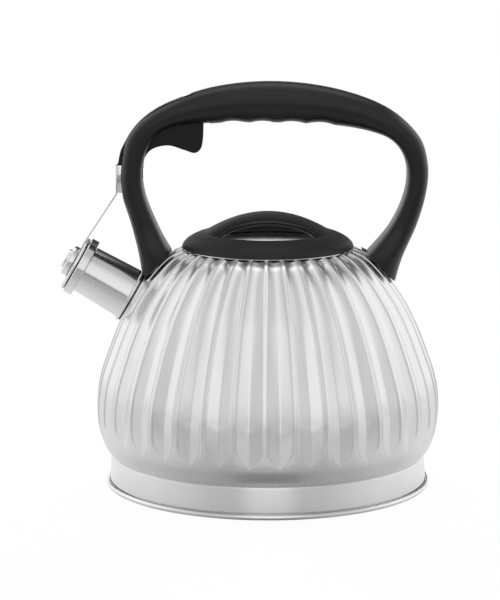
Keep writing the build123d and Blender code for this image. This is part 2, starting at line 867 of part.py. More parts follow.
bridge_top = rim_high + bridge_rise
bridge_reach = cover_hole_radius + 1.6
bridge_inner = bridge_reach - bridge_foot
bridge_arch = ThreePointArc((-bridge_reach, 0, cover_top - 0.4), (0, 0, bridge_top), (bridge_reach, 0, cover_top - 0.4))
bridge_soffit = ThreePointArc(
    (bridge_inner, 0, cover_top - 3.0), (0, 0, bridge_top - bridge_thick), (-bridge_inner, 0, cover_top - 3.0))
bridge_right = Polyline(bridge_arch @ 1, (bridge_reach, 0, cover_low), (bridge_inner, 0, cover_low), bridge_soffit @ 0)
bridge_left = Polyline(bridge_soffit @ 1, (-bridge_inner, 0, cover_low), (-bridge_reach, 0, cover_low), bridge_arch @ 0)
bridge_wire = Wire([*bridge_arch.edges(), *bridge_right.edges(), *bridge_soffit.edges(), *bridge_left.edges()])
bridge = extrude(Face(bridge_wire), amount=bridge_half_width, dir=(0, 1, 0), both=True)
lid_cover = cover_ring + bridge
lid_screw_x = bridge_inner + lid_screw_inset
lid_screws = []
for side in (-1, 1):
    hole = Pos(side * lid_screw_x, 0, dish_high) * Cylinder(screw_radius, 9)
    lid_cover -= hole
    lid_plate -= hole
    shank_low = dish_high - lid_sheet
    shank = Pos(side * lid_screw_x, 0, shank_low + 2.5) * Cylinder(screw_radius, 5)
    head = Pos(side * lid_screw_x, 0, shank_low - screw_head_height / 2) * Cylinder(screw_head_radius, screw_head_height)
    lid_screws.append(shank + head)
save(lid_plate, "lid_plate")
save(lid_cover, "lid_cover")
save(Compound(children=lid_screws), "lid_screws")
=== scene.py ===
import json
import math

import bpy
from mathutils import Matrix, Vector

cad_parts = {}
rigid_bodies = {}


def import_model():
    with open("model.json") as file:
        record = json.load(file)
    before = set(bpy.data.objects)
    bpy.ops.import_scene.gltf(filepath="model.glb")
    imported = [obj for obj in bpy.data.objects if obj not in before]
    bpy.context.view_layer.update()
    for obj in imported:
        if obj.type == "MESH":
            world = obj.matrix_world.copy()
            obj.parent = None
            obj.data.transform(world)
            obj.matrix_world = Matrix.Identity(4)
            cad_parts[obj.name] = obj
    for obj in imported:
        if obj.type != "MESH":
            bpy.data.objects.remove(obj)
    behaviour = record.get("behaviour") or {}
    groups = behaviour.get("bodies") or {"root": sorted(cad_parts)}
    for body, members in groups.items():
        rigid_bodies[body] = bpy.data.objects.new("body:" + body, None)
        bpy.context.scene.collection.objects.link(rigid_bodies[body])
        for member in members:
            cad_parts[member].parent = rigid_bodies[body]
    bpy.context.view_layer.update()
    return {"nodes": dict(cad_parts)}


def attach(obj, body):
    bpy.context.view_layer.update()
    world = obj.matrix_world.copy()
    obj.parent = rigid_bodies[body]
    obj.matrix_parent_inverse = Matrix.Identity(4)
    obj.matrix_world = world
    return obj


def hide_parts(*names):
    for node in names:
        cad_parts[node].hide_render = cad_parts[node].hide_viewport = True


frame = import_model()
nodes = frame["nodes"]
mm = 0.001
print("frame loaded:", len(nodes), "nodes")

# helpers for shares, selection and edit mode

merge = {"turned": 2e-6, "swept": 4e-6}  # metres
edges = {"support": 3.0, "longSide": 4, "segments": 3, "turnedLimit": 30, "slabLimit": 50, "slabSmooth": 40}


def clampShare(value, low, high):
    return min(max((value - low) / (high - low), 0.0), 1.0)


def easeShare(share):
    return share * share * (3 - 2 * share)


def clearAll():
    if bpy.context.object and bpy.context.object.mode != "OBJECT":
        bpy.ops.object.mode_set(mode="OBJECT")
    bpy.ops.object.select_all(action="DESELECT")


def pick(piece):
    clearAll()
    piece.select_set(True)
    bpy.context.view_layer.objects.active = piece


def editAll(piece):
    pick(piece)
    bpy.ops.object.mode_set(mode="EDIT")
    bpy.ops.mesh.select_all(action="SELECT")


def faceOutwards():
    # last step of an edit, which then leaves edit mode
    bpy.ops.mesh.select_all(action="SELECT")
    bpy.ops.mesh.normals_make_consistent(inside=False)
    bpy.ops.object.mode_set(mode="OBJECT")


def applyModifier(piece, kind, **settings):
    pick(piece)
    modifier = piece.modifiers.new(kind.lower(), kind)
    for key, value in settings.items():
        setattr(modifier, key, value)
    bpy.ops.object.modifier_apply(modifier=modifier.name)


def mergeDoubles(piece, distance):
    editAll(piece)
    bpy.ops.mesh.remove_doubles(threshold=distance)
    bpy.ops.mesh.dissolve_degenerate(threshold=distance)
    faceOutwards()


def closeEnds(piece):
    # caps on both ends of a swept tube
    mergeDoubles(piece, merge["swept"])
    editAll(piece)
    bpy.ops.mesh.select_all(action="DESELECT")
    bpy.ops.mesh.select_non_manifold()
    bpy.ops.mesh.fill_holes(sides=0)
    faceOutwards()


def smoothEdges(piece, degrees):
    pick(piece)
    bpy.ops.object.shade_smooth_by_angle(angle=math.radians(degrees))


def putInPlace(piece, matrix):
    pick(piece)
    piece.matrix_world = matrix
    bpy.ops.object.transform_apply(location=True, rotation=True, scale=True)


def drop(piece):
    mesh = piece.data
    bpy.data.objects.remove(piece)
    bpy.data.meshes.remove(mesh)


def combine(piece, other, operation):
    applyModifier(piece, "BOOLEAN", operation=operation, solver="EXACT", object=other)
    drop(other)


def finishPiece(piece, body, replaced, material):
    piece.data.materials.clear()
    piece.data.materials.append(material)
    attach(piece, body)
    if replaced:
        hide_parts(*replaced)
    return piece


# helpers for shapes, all sizes in millimetres

def blendPoints(points, share):
    # smooth curve through the points, share runs from 0 to 1
    last = len(points) - 1
    place = min(max(share, 0.0), 1.0) * last
    index = min(int(place), last - 1)
    t = place - index
    p1 = Vector(points[index])
    p2 = Vector(points[index + 1])
    p0 = Vector(points[index - 1]) if index > 0 else p1 * 2 - p2
    p3 = Vector(points[index + 2]) if index + 2 <= last else p2 * 2 - p1
    return 0.5 * (2 * p1 + (p2 - p0) * t + (2 * p0 - 5 * p1 + 4 * p2 - p3) * t * t
                  + (3 * p1 - p0 - 3 * p2 + p3) * t * t * t)


def upright(points):
    # pairs of radius and height, or of x and z, as points of the XZ plane
    return [(across, 0, height) for across, height in points]


def curvePoints(points, count):
    curve = [blendPoints(upright(points), k / (count - 1)) for k in range(count)]
    return [(point.x, point.z) for point in curve]


def namePiece(name):
    piece = bpy.context.object
    piece.name = name
    piece.data.name = name
    return piece


def loopPiece(name, points):
    # a ring of edges through the points
    clearAll()
    bpy.ops.mesh.primitive_circle_add(vertices=len(points), radius=1, fill_type="NOTHING")
    piece = namePiece(name)
    for vertex, point in zip(piece.data.vertices, points):
        vertex.co = Vector(point) * mm
    return piece


def gridPiece(name, columns, rows, place):
    # a grid whose points are moved to place(column, row)
    clearAll()
    bpy.ops.mesh.primitive_grid_add(x_subdivisions=columns - 1, y_subdivisions=rows - 1, size=2)
    piece = namePiece(name)
    for index, vertex in enumerate(piece.data.vertices):
        vertex.co = Vector(place(index % columns, index // columns)) * mm
    return piece


def boxPiece(name, size, place):
    clearAll()
    bpy.ops.mesh.primitive_cube_add(size=1)
    piece = namePiece(name)
    piece.scale = tuple(length * mm for length in size)
    piece.location = tuple(length * mm for length in place)
    bpy.ops.object.transform_apply(location=True, rotation=True, scale=True)
    return piece


def supportedProfile(profile, reach):
    # two more points near the ends of each long side keep its shading straight beside a rounded edge
    points = []
    for index, (r, z) in enumerate(profile):
        nextR, nextZ = profile[(index + 1) % len(profile)]
        points.append((r, z))
        length = math.hypot(nextR - r, nextZ - z)
        if length > edges["longSide"] * reach:
            for share in (reach / length, 1 - reach / length):
                points.append((r + (nextR - r) * share, z + (nextZ - z) * share))
    return points


def spinPiece(name, profile, steps=160, bevel=0.0, angle=25):
    # closed profile of radius and height, turned about Z
    if bevel:
        profile = supportedProfile(profile, bevel * edges["support"])
    piece = loopPiece(name, upright(profile))
    editAll(piece)
    bpy.ops.mesh.spin(steps=steps, angle=2 * math.pi, center=(0, 0, 0), axis=(0, 0, 1))
    bpy.ops.object.mode_set(mode="OBJECT")
    mergeDoubles(piece, merge["turned"])
    if bevel:
        applyModifier(piece, "BEVEL", width=bevel * mm, segments=edges["segments"], limit_method="ANGLE",
                      angle_limit=math.radians(edges["turnedLimit"]), use_clamp_overlap=True)
    smoothEdges(piece, angle)
    return piece


def slabPiece(name, outline, halfWidth, bevel=0.0, segments=3):
    # flat outline in the XZ plane, given its thickness along Y
    piece = loopPiece(name, [(x, -halfWidth, z) for x, z in outline])
    editAll(piece)
    bpy.ops.mesh.edge_face_add()
    bpy.ops.mesh.extrude_region_move(TRANSFORM_OT_translate={"value": (0, 2 * halfWidth * mm, 0)})
    faceOutwards()
    if bevel:
        applyModifier(piece, "BEVEL", width=bevel * mm, segments=segments, limit_method="ANGLE",
                      angle_limit=math.radians(edges["slabLimit"]), use_clamp_overlap=True)
    smoothEdges(piece, edges["slabSmooth"])
    return piece


# node helpers and the two shared groups

def addNode(tree, kind, inputs=None, **settings):
    # inputs are linked when they are sockets and set when they are values
    node = tree.nodes.new(kind)
    for key, value in settings.items():
        setattr(node, key, value)
    for key, value in (inputs or {}).items():
        if isinstance(value, bpy.types.NodeSocket):
            tree.links.new(value, node.inputs[key])
        else:
            node.inputs[key].default_value = value
    return node


def mathNode(tree, operation, first, second=0.0):
    return addNode(tree, "ShaderNodeMath", {0: first, 1: second}, operation=operation).outputs[0]


def splitVector(tree, vector):
    return addNode(tree, "ShaderNodeSeparateXYZ", {0: vector}).outputs


def mapRange(tree, value, span, newSpan, ease="LINEAR"):
    node = addNode(tree, "ShaderNodeMapRange", {"Value": value, "From Min": span[0], "From Max": span[1],
                                                "To Min": newSpan[0], "To Max": newSpan[1]},
                   interpolation_type=ease)
    return node.outputs["Result"]


def newGroup(name, inputs, outputs):
    group = bpy.data.node_groups.new(name, "ShaderNodeTree")
    for label, kind, value in inputs:
        socket = group.interface.new_socket(name=label, in_out="INPUT", socket_type=kind)
        socket.default_value = value
    for label in outputs:
        group.interface.new_socket(name=label, in_out="OUTPUT", socket_type="NodeSocketFloat")
    start = group.nodes.new("NodeGroupInput")
    end = group.nodes.new("NodeGroupOutput")
    return group, start.outputs, end.inputs


steelFinish = {
    "fine": {"Scale": 1.0, "Detail": 5.0, "Roughness": 0.7}, "cloud": {"Scale": 34.0, "Detail": 3.0},
    "lineShare": 0.75, "toneSpan": (0.3, 0.7), "roughSpan": (0.25, 0.75), "cool": 1.004, "bumpDepth": 0.0002,
}
plasticFinish = {
    "rub": {"Scale": 55.0, "Detail": 4.0}, "rubSpan": (0.3, 0.7), "sheenRough": 0.3,
    "underside": (-0.5, -0.1), "bumpDepth": 0.0001,
}


def brushGroup():
    # fine grinding lines, drawn out round the Z axis or along it
    group, start, end = newGroup(
        "brushLines",
        [("Vector", "NodeSocketVector", (0, 0, 0)), ("Round", "NodeSocketFloat", 40.0),
         ("Along", "NodeSocketFloat", 20.0)],
        ["Lines", "Cloud"])
    apart = splitVector(group, start["Vector"])
    turn = mathNode(group, "ARCTAN2", apart["Y"], apart["X"])
    flat = addNode(group, "ShaderNodeCombineXYZ", {
        "X": mathNode(group, "MULTIPLY", turn, start["Round"]),
        "Y": mathNode(group, "MULTIPLY", apart["Z"], start["Along"])})
    fine = addNode(group, "ShaderNodeTexNoise", {"Vector": flat.outputs[0], **steelFinish["fine"]})
    cloud = addNode(group, "ShaderNodeTexNoise", {"Vector": start["Vector"], **steelFinish["cloud"]})
    group.links.new(fine.outputs[0], end["Lines"])
    group.links.new(cloud.outputs[0], end["Cloud"])
    return group


def grainGroup():
    # the soft pebble of a moulded matt plastic, with a faint rubbed patchiness
    group, start, end = newGroup(
        "mouldGrain",
        [("Vector", "NodeSocketVector", (0, 0, 0)), ("Pebble", "NodeSocketFloat", 2600.0)],
        ["Grain", "Rub"])
    pebble = addNode(group, "ShaderNodeTexVoronoi", {"Vector": start["Vector"], "Scale": start["Pebble"]},
                     feature="SMOOTH_F1")
    rub = addNode(group, "ShaderNodeTexNoise", {"Vector": start["Vector"], **plasticFinish["rub"]})
    group.links.new(pebble.outputs["Distance"], end["Grain"])
    group.links.new(rub.outputs[0], end["Rub"])
    return group


brushLines = brushGroup()
mouldGrain = grainGroup()

# steels and black plastics

def newMaterial(name):
    material = bpy.data.materials.new(name)
    material.use_nodes = True
    tree = material.node_tree
    where = tree.nodes.new("ShaderNodeTexCoord")
    return material, tree, tree.nodes["Principled BSDF"], where.outputs


def toneMix(tree, share, tone, cool=1.0):
    dark, light = [(grey, grey, grey * cool, 1) for grey in tone]
    return addNode(tree, "ShaderNodeMix", {0: share, 6: dark, 7: light}, data_type="RGBA").outputs[2]


def addBump(tree, shader, height, strength, depth):
    bump = addNode(tree, "ShaderNodeBump", {"Height": height, "Strength": strength, "Distance": depth})
    tree.links.new(bump.outputs[0], shader.inputs["Normal"])


def steelMaterial(name, look):
    material, tree, shader, coordinates = newMaterial(name)
    where = coordinates["Object"]
    if look.get("turn"):
        where = addNode(tree, "ShaderNodeMapping", {"Vector": where, "Location": look["centre"],
                                                    "Rotation": look["turn"]},
                        vector_type="TEXTURE").outputs[0]
    brush = addNode(tree, "ShaderNodeGroup", node_tree=brushLines)
    tree.links.new(where, brush.inputs["Vector"])
    brush.inputs["Round"].default_value = look["round"]
    brush.inputs["Along"].default_value = look["along"]
    lines = brush.outputs["Lines"]
    lineShare = steelFinish["lineShare"]
    mixed = mathNode(tree, "ADD", mathNode(tree, "MULTIPLY", lines, lineShare),
                     mathNode(tree, "MULTIPLY", brush.outputs["Cloud"], 1 - lineShare))
    share = mapRange(tree, mixed, steelFinish["toneSpan"], (0.0, 1.0))
    tree.links.new(toneMix(tree, share, look["tone"], steelFinish["cool"]), shader.inputs["Base Color"])
    shader.inputs["Metallic"].default_value = 1.0
    tree.links.new(mapRange(tree, lines, steelFinish["roughSpan"], look["rough"]), shader.inputs["Roughness"])
    addBump(tree, shader, lines, look["bump"], steelFinish["bumpDepth"])
    if look.get("streak"):
        shader.inputs["Anisotropic"].default_value = look["streak"]
        shader.inputs["Anisotropic Rotation"].default_value = look.get("streakTurn", 0.0)
        tangent = addNode(tree, "ShaderNodeTangent", direction_type="RADIAL", axis="Z")
        tree.links.new(tangent.outputs[0], shader.inputs["Tangent"])
    return material


def plasticMaterial(name, look):
    material, tree, shader, coordinates = newMaterial(name)
    grain = addNode(tree, "ShaderNodeGroup", node_tree=mouldGrain)
    tree.links.new(coordinates["Object"], grain.inputs["Vector"])
    grain.inputs["Pebble"].default_value = look["pebble"]
    rub = grain.outputs["Rub"]
    share = mapRange(tree, rub, plasticFinish["rubSpan"], (0.0, 1.0))
    tree.links.new(toneMix(tree, share, look["tone"]), shader.inputs["Base Color"])
    tree.links.new(mapRange(tree, rub, plasticFinish["rubSpan"], look["rough"]), shader.inputs["Roughness"])
    shader.inputs["Specular IOR Level"].default_value = look["gloss"]
    shader.inputs["Coat Weight"].default_value = look["coat"]
    shader.inputs["Coat Roughness"].default_value = look["coatRough"]
    if look.get("polishBelow"):
        facing = splitVector(tree, coordinates["Normal"])["Z"]
        coat = mapRange(tree, facing, plasticFinish["underside"], (look["polishBelow"], look["coat"]))
        tree.links.new(coat, shader.inputs["Coat Weight"])
    shader.inputs["Sheen Weight"].default_value = look["sheen"]
    shader.inputs["Sheen Roughness"].default_value = plasticFinish["sheenRough"]
    addBump(tree, shader, grain.outputs["Grain"], look["bump"], plasticFinish["bumpDepth"])
    return material


# the spout's own axis, which its pieces, the whistle cap and their brushing share
spout = {"root": (-80.0, 0.0, 112.9), "lean": 30.0,
         "hole": (14.7, -20, 20), "notch": (17.5, -14, 33), "cutSteps": 96}  # radius, low and high end
spoutTilt = math.radians(spout["lean"] - 90)
spoutMatrix = Matrix.Translation(Vector(spout["root"]) * mm) @ Matrix.Rotation(spoutTilt, 4, "Y")
spoutTurn = {"centre": tuple(c * mm for c in spout["root"]), "turn": (0, spoutTilt, 0)}

fluteSteel = steelMaterial("fluteSteel", {
    "round": 260.0, "along": 26.0, "tone": (0.76, 0.84), "rough": (0.24, 0.34), "bump": 0.05, "streak": 0.45})
bandSteel = steelMaterial("bandSteel", {
    "round": 6.0, "along": 2400.0, "tone": (0.78, 0.86), "rough": (0.22, 0.28), "bump": 0.02, "streak": 0.85,
    "streakTurn": 0.25})
spoutSteel = steelMaterial("spoutSteel", {
    "round": 3.0, "along": 1500.0, "tone": (0.69, 0.77), "rough": (0.15, 0.23), "bump": 0.02, **spoutTurn})
capSteel = steelMaterial("capSteel", {
    "round": 6.0, "along": 900.0, "tone": (0.74, 0.84), "rough": (0.14, 0.24), "bump": 0.03, **spoutTurn})
lidSteel = steelMaterial("lidSteel", {
    "round": 5.0, "along": 2200.0, "tone": (0.74, 0.84), "rough": (0.09, 0.15), "bump": 0.02})
screwSteel = steelMaterial("screwSteel", {
    "round": 9.0, "along": 1200.0, "tone": (0.50, 0.62), "rough": (0.24, 0.38), "bump": 0.05})
pinSteel = steelMaterial("pinSteel", {
    "round": 14.0, "along": 700.0, "tone": (0.58, 0.68), "rough": (0.20, 0.34), "bump": 0.05})
castAluminium = steelMaterial("castAluminium", {
    "round": 3.0, "along": 1600.0, "tone": (0.66, 0.76), "rough": (0.36, 0.50), "bump": 0.1})
handleBlack = plasticMaterial("handleBlack", {
    "pebble": 2600.0, "tone": (0.005, 0.008), "rough": (0.48, 0.56), "gloss": 0.04, "coat": 0.66,
    "coatRough": 0.34, "sheen": 0.08, "bump": 0.06})
leverBlack = plasticMaterial("leverBlack", {
    "pebble": 3000.0, "tone": (0.005, 0.008), "rough": (0.50, 0.58), "gloss": 0.12, "coat": 0.3,
    "coatRough": 0.38, "sheen": 0.03, "bump": 0.06})
lidBlack = plasticMaterial("lidBlack", {
    "pebble": 3200.0, "tone": (0.007, 0.010), "rough": (0.50, 0.58), "gloss": 0.38, "coat": 0.0,
    "coatRough": 0.07, "sheen": 0.0, "polishBelow": 1.0, "bump": 0.05})
# black rubber of the seals, which also stands in as painted shade for the dark gaps they fill
sealRubberAndGapShade = plasticMaterial("sealRubberAndGapShade", {
    "pebble": 4000.0, "tone": (0.004, 0.007), "rough": (0.6, 0.75), "gloss": 0.1, "coat": 0.0,
    "coatRough": 0.4, "sheen": 0.0, "bump": 0.05})
print("materials ready")


def turnedPiece(name, body, replaced, material, slot, profile, matrix=None, **shape):
    piece = spinPiece(name, profile, **shape)
    if matrix is not None:
        putInPlace(piece, matrix)
    return finishPiece(piece, body, replaced, material)


def spoutCutter(name, radius, low, high):
    profile = [(0, low), (radius, low), (radius, high), (0, high)]
    cutter = spinPiece(name, profile, steps=spout["cutSteps"])
    putInPlace(cutter, spoutMatrix)
    return cutter


# fluted body, one petal modelled and copied round

body = {
    "outline": [(92.5, 19.4), (96.1, 24.4), (98.6, 30.4), (100.3, 38.0), (101.0, 47.0), (100.4, 57.0),
                (98.2, 68.0), (93.4, 82.0), (87.8, 96.0), (80.8, 110.0), (72.4, 122.2), (65.0, 131.0),
                (58.0, 137.3), (51.0, 141.0)],
    "inner": [(45.5, 141.0), (45.0, 140.7), (45.0, 140.1), (52.0, 138.2), (60.0, 132.6), (68.0, 123.6),
              (76.6, 110.0), (84.0, 96.0), (89.6, 82.0), (94.4, 68.0), (97.0, 54.0), (97.4, 42.0),
              (95.6, 31.0), (93.2, 25.0), (91.4, 19.4), (92.5, 19.4)],  # mouth's lip, then the wall down
    "rows": 104, "petals": 36, "turn": -1.4, "smooth": 16,
    "ridge": 2.6, "ridgeProud": 0.32, "slope": 0.33, "bowl": 0.62,
    "step": 0.2, "stepInside": 0.99, "trench": 0.28, "trenchFrom": 0.9,
    "tipLow": 31.6, "tipFull": 43.6, "tipPower": 2.5, "tipLine": 0.16, "tipShallow": 0.35, "fadeFrom": 56.0,
    "flatFrom": 62.0, "flatTo": 118.0, "flatLow": 0.22, "leastWidth": 1e-6,
}
petalCuts = [-1.0, -0.975, -0.93, -0.87, -0.72, -0.52, -0.32, -0.14, -0.03,
             0.03, 0.14, 0.32, 0.52, 0.72, 0.87, 0.93, 0.975, 1.0]  # across a petal, 1 at its edge
ridgeCuts = [(0.64, 0.92), (0.28, 0.985), (0.0, 1.0)]  # place from the ridge's middle, and its crown


def bodyRow(index):
    # radius and height of a row, up the outline and then back down the inner wall
    rows = body["rows"]
    if index < rows:
        point = blendPoints(upright(body["outline"]), index / (rows - 1))
        return point.x, point.z
    return body["inner"][index - rows]


def rowTilt(row):
    # how far the surface leans back at a row, so that lifts go square to it
    lowR, lowZ = bodyRow(max(row - 1, 0))
    highR, highZ = bodyRow(min(row + 1, body["rows"] - 1))
    return math.atan2(lowR - highR, highZ - lowZ)


def petalDepth(q, x, z, width, share):
    # a vee low on the body that becomes a bowl higher up, with a fine step and trench beside the ridges
    reach = max(width - abs(x), 0.0)
    fade = clampShare(z, body["tipLow"], body["fadeFrom"])
    shallow = body["tipShallow"] + (1 - body["tipShallow"]) * fade
    vee = body["slope"] * reach * shallow
    bowl = body["slope"] * body["bowl"] * reach * (width + abs(x)) / max(width, body["leastWidth"]) * shallow
    flat = easeShare(clampShare(z, body["flatFrom"], body["flatTo"]))
    flat = body["flatLow"] + (1 - body["flatLow"]) * flat
    deep = vee * (1 - flat) + bowl * flat
    if abs(q) < body["stepInside"]:
        deep += body["step"] * share
        if abs(q) > body["trenchFrom"]:
            deep += body["trench"] * share
    return deep


def petalPoint(column, row):
    r, z = bodyRow(row)
    half = r * math.radians(180 / body["petals"])
    edge = half - body["ridge"] / 2
    share = 1.0
    if z < body["tipFull"]:
        below = (body["tipFull"] - z) / (body["tipFull"] - body["tipLow"])
        share = max(1 - below ** body["tipPower"], 0.0)
    width = edge * share
    line = max(width, body["tipLine"] * edge)
    ridges = len(ridgeCuts)
    petalEnd = ridges + len(petalCuts)
    if ridges <= column < petalEnd:
        q = petalCuts[column - ridges]
        x = q * line
        lift = -petalDepth(q, x, z, width, share)
    else:
        left = column < ridges
        k, crown = ridgeCuts[ridges - 1 - column if left else column - petalEnd]
        x = half - (half - line) * k
        x = -x if left else x
        lift = body["ridgeProud"] * crown * share
    if row >= body["rows"]:
        return r * math.cos(x / r), r * math.sin(x / r), z
    tilt = rowTilt(row)
    radius = r + lift * math.cos(tilt)
    return radius * math.cos(x / r), radius * math.sin(x / r), z + lift * math.sin(tilt)


def makeBody():
    columns = len(petalCuts) + 2 * len(ridgeCuts)
    piece = gridPiece("bodyShell", columns, body["rows"] + len(body["inner"]), petalPoint)
    steps = body["petals"] - 1
    editAll(piece)
    bpy.ops.mesh.spin(steps=steps, dupli=True, angle=2 * math.pi * steps / body["petals"],
                      center=(0, 0, 0), axis=(0, 0, 1))
    bpy.ops.object.mode_set(mode="OBJECT")
    facing = math.radians(-90 + body["turn"] + 180 / body["petals"])  # -90 is the photographed side
    putInPlace(piece, Matrix.Rotation(facing, 4, "Z"))
    mergeDoubles(piece, merge["swept"])
    combine(piece, spoutCutter("spoutHole", *spout["hole"]), "DIFFERENCE")
    smoothEdges(piece, body["smooth"])
    return finishPiece(piece, "kettle", ["body_shell"], fluteSteel)


bodyShell = makeBody()

collar = {"profile": [(14.75, -0.34), (16.4, -0.34), (16.9, -0.8), (17.3, -2.0), (18.4, -3.6), (20.4, -5.2),
                      (23.0, -7.4), (21.0, -8.4), (14.75, -8.4)],
          "steps": 128}
turnedPiece("spoutCollar", "kettle", [], fluteSteel, "stainless_steel", collar["profile"], spoutMatrix,
            steps=collar["steps"])
print("body:", len(bodyShell.data.polygons), "faces")

# base: band, rolled rim with the pan, cover that stands on the hob

base = {
    "band": [(92.9, 4.7), (93.7, 4.7), (92.8, 18.5), (92.7, 19.1), (92.5, 19.38), (91.4, 19.38),
             (92.0, 18.2)],
    "bandBevel": 0.25, "steps": 256, "rimSmooth": 40, "coverSteps": 192,
    "rim": 95.8, "bead": 1.45, "beadLift": 1.2, "beadTurn": 140, "beadSteps": 16,
    "pan": (2.95, 3.6), "rootIn": (1.4, 1.6), "flange": (91.2, 91.9, 6.2), "flangeFoot": 3.7,
    "cover": [(0, 0), (81.8, 0), (82.6, 0.25), (83.0, 1.0), (83.0, 2.9), (82.4, 2.9), (82.4, 0.6), (0, 0.6)],
}


def rimProfile():
    middle = base["rim"] - base["bead"]
    height = base["beadLift"] + base["bead"]
    low, high = base["pan"]
    lowIn, highIn = base["rootIn"]
    inside, outside, top = base["flange"]
    points = [(0.0, low), (middle - lowIn, low)]
    for k in range(base["beadSteps"] + 1):
        angle = math.radians(-base["beadTurn"] + 2 * base["beadTurn"] * k / base["beadSteps"])
        points.append((middle + base["bead"] * math.cos(angle), height + base["bead"] * math.sin(angle)))
    points += [(middle - highIn, high), (outside, base["flangeFoot"]), (outside, top), (inside, top),
               (inside, high), (0.0, high)]
    return points


turnedPiece("baseBand", "kettle", ["base_skirt"], bandSteel, "stainless_steel", base["band"],
            steps=base["steps"], bevel=base["bandBevel"])
turnedPiece("basePan", "kettle", ["base_pan"], bandSteel, "stainless_steel", rimProfile(),
            steps=base["steps"], angle=base["rimSmooth"])
turnedPiece("baseCover", "kettle", ["base_cover"], bandSteel, "stainless_steel", base["cover"],
            steps=base["coverSteps"])
print("base ready")

# spout, whistle cap and the two seals, turned about the spout's axis; the seals are black rings that are
# partly rubber seals and partly painted shade that draws the dark gap lines at the spout's root and under the
# cap

spoutShape = {"steps": 128, "bevel": 0.12, "angle": 30}
sealShape = {"steps": 96, "angle": 30}
spoutPieces = [
    ("spoutTube", "kettle", "spout_tube", spoutSteel,
     [(14.7, 0.36), (16.6, 0.36), (17.0, 0.6), (17.1, 1.1), (17.0, 1.7), (16.6, 2.05), (15.5, 2.1),
      (15.4, 2.3), (14.2, 33.0), (13.4, 33.0)]),
    ("spoutMouthRing", "kettle", "spout_mouth_ring", spoutSteel,
     [(14.3, 31.6), (17.2, 31.6), (17.7, 32.1), (17.7, 36.4), (17.2, 36.9), (13.4, 36.9), (13.4, 33.05),
      (14.3, 33.05)]),
    ("whistleCapPlate", "trigger", "whistle_cap_plate", capSteel,
     [(3.0, 37.6), (16.4, 37.6), (16.6, 37.8), (16.6, 38.6), (16.2, 39.0), (15.6, 39.2), (3.0, 39.2)]),
    ("whistleCup", "trigger", "whistle_cup", capSteel,
     [(8.5, 40.0), (9.2, 40.0), (9.2, 42.5), (8.9, 43.1), (8.3, 43.4), (6.4, 43.4), (6.05, 43.6), (6.0, 44.4),
      (5.8, 44.9), (5.3, 45.2), (1.2, 45.2), (1.2, 44.5), (5.3, 44.5), (5.3, 42.7), (8.5, 42.7)]),
]
for name, rides, node, material, profile in spoutPieces:
    turnedPiece(name, rides, [node], material, "stainless_steel", profile, spoutMatrix, **spoutShape)
# black rings at the spout's root and under the cap plate: partly rubber seals, partly painted shade drawing
# the dark gap lines there
sealsAndGapShade = {"rootSealAndShade": ("kettle", [(15.0, -0.32), (16.15, -0.32), (16.15, 0.34), (15.0, 0.34)]),
         "capSealAndShade": ("trigger", [(9.5, 37.15), (15.9, 37.15), (16.1, 37.3), (16.1, 37.58), (9.5, 37.58)])}
for name, (rides, profile) in sealsAndGapShade.items():
    turnedPiece(name, rides, [], sealRubberAndGapShade, "black_plastic", profile, spoutMatrix, **sealShape)
print("spout ready")

# lever with the finger tab, its outline measured from the pivot

lever = {
    "pivot": (-39.6, 225.8), "half": 5.6, "bevel": 1.3, "bevelSteps": 4, "smooth": 40,
    "spine": [(-9.9, 4.3), (-20.0, 0.2), (-28.4, -4.5), (-35.2, -10.0), (-40.3, -16.0), (-44.0, -22.2),
              (-46.4, -27.4), (-47.7, -33.6)],
    "tip": [(-48.35, -35.3), (-48.35, -51.5), (-44.0, -51.5), (-44.0, -42.3)],
    "tab": [(-33.4, -38.8), (-32.6, -31.8), (-27.9, -26.0), (-18.6, -23.8), (-9.4, -26.4), (-3.1, -28.2),
            (0.7, -25.2), (1.8, -18.8), (2.0, -11.8)],
    "hub": [(4.2, -4.0), (4.2, 2.8), (3.2, 3.8), (-4.0, 3.8), (-6.9, 2.6)],
    "spinePoints": 28, "tabPoints": 48,
    "recess": (8, 2, 18.2), "recessPlace": (-85.6, 5.75, 182.0),  # where the strap's clip holds it
}


def makeLever():
    outline = curvePoints(lever["spine"], lever["spinePoints"]) + lever["tip"]
    outline += curvePoints(lever["tab"], lever["tabPoints"]) + lever["hub"]
    pivotX, pivotZ = lever["pivot"]
    piece = slabPiece("triggerLever", [(pivotX + x, pivotZ + z) for x, z in outline], lever["half"],
                      lever["bevel"], lever["bevelSteps"])
    x, y, z = lever["recessPlace"]
    for side in (-1, 1):
        combine(piece, boxPiece("clipRecess", lever["recess"], (x, side * y, z)), "DIFFERENCE")
    smoothEdges(piece, lever["smooth"])
    finishPiece(piece, "trigger", ["trigger_lever"], leverBlack)


makeLever()

# strap, bent up from the whistle cap, with the two cheeks of its clip

strap = {"half": 5.6, "thick": 0.8, "plate": (-113.95, 132.5), "low": 8.6, "edge": 17.0, "plateLean": 30.0,
         "freeLean": 33.5, "bend": 173.5, "top": 190.5, "clipDepth": 4.4, "clipFoot": 1.0,
         "bevel": 0.16, "bevelSteps": 2, "smooth": 40}


def leanAxes(degrees):
    # along the strip and out of its face
    a = math.radians(degrees)
    return Vector((math.sin(a), math.cos(a))), Vector((-math.cos(a), math.sin(a)))


